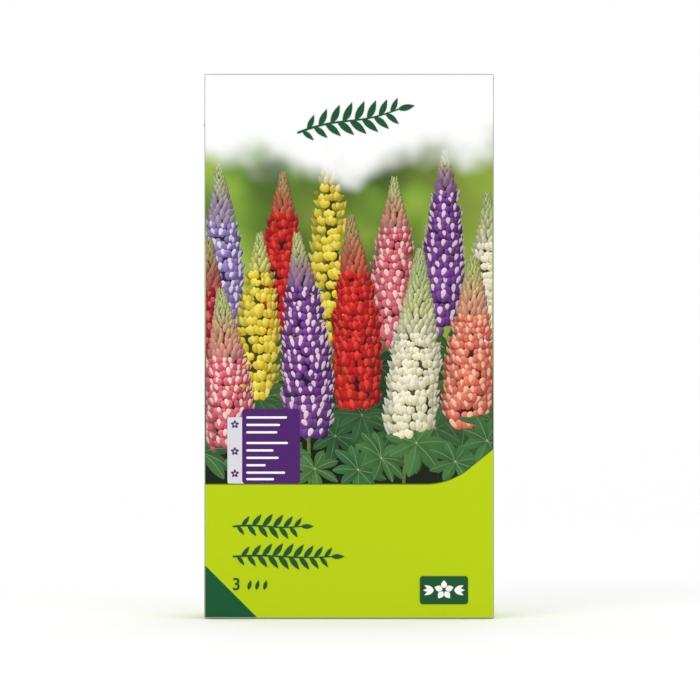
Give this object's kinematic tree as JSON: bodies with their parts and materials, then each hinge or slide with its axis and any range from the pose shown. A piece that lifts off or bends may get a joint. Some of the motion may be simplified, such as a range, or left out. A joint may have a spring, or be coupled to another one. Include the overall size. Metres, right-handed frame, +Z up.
{
  "type": "bare-root perennial carton",
  "caption": "Upright folding carton with a printed garden front, tuck-in top lid and dust flaps, holding a film bag of peat with dormant bare-root lupin crowns.",
  "frame": {"origin": "middle of the base, on the surface that the carton stands on", "axes": "+Z up the carton's height, -Y out of the printed front, +X to the right as the front is read"},
  "size_m": [0.125, 0.045, 0.235],
  "materials": {
    "printed_board": "satin",
    "plain_board": "matte",
    "film": "satin",
    "peat": "matte",
    "root_skin": "matte"
  },
  "bodies": {
    "carton": {"carton_body": "printed_board", "inner_bag": "film", "peat_block": "peat", "lupin_crown_1": "root_skin", "lupin_crown_2": "root_skin", "lupin_crown_3": "root_skin"},
    "lid": {"lid": "printed_board"},
    "tuck": {"tuck_flap": "printed_board"},
    "dust_left": {"dust_flap_left": "plain_board"},
    "dust_right": {"dust_flap_right": "plain_board"}
  },
  "joints": [
    {"name": "lid_hinge", "type": "hinge", "parent": "carton", "child": "lid", "pos_m": [0, 0.0222, 0.2347], "axis": [-1, 0, 0], "range_deg": [0, 160]},
    {"name": "tuck_hinge", "type": "hinge", "parent": "lid", "child": "tuck", "pos_m": [0, -0.0206, 0.2347], "axis": [1, 0, 0], "range_deg": [0, 48]},
    {"name": "dust_left_hinge", "type": "hinge", "parent": "carton", "child": "dust_left", "pos_m": [-0.0622, 0, 0.2338], "axis": [0, -1, 0], "range_deg": [0, 48]},
    {"name": "dust_right_hinge", "type": "hinge", "parent": "carton", "child": "dust_right", "pos_m": [0.0622, 0, 0.2338], "axis": [0, 1, 0], "range_deg": [0, 48]}
  ],
  "couplings": [
    {"joint": "tuck_hinge", "follows": "lid_hinge", "ratio": 0.3},
    {"joint": "dust_left_hinge", "follows": "lid_hinge", "ratio": 0.3},
    {"joint": "dust_right_hinge", "follows": "lid_hinge", "ratio": 0.3}
  ]
}
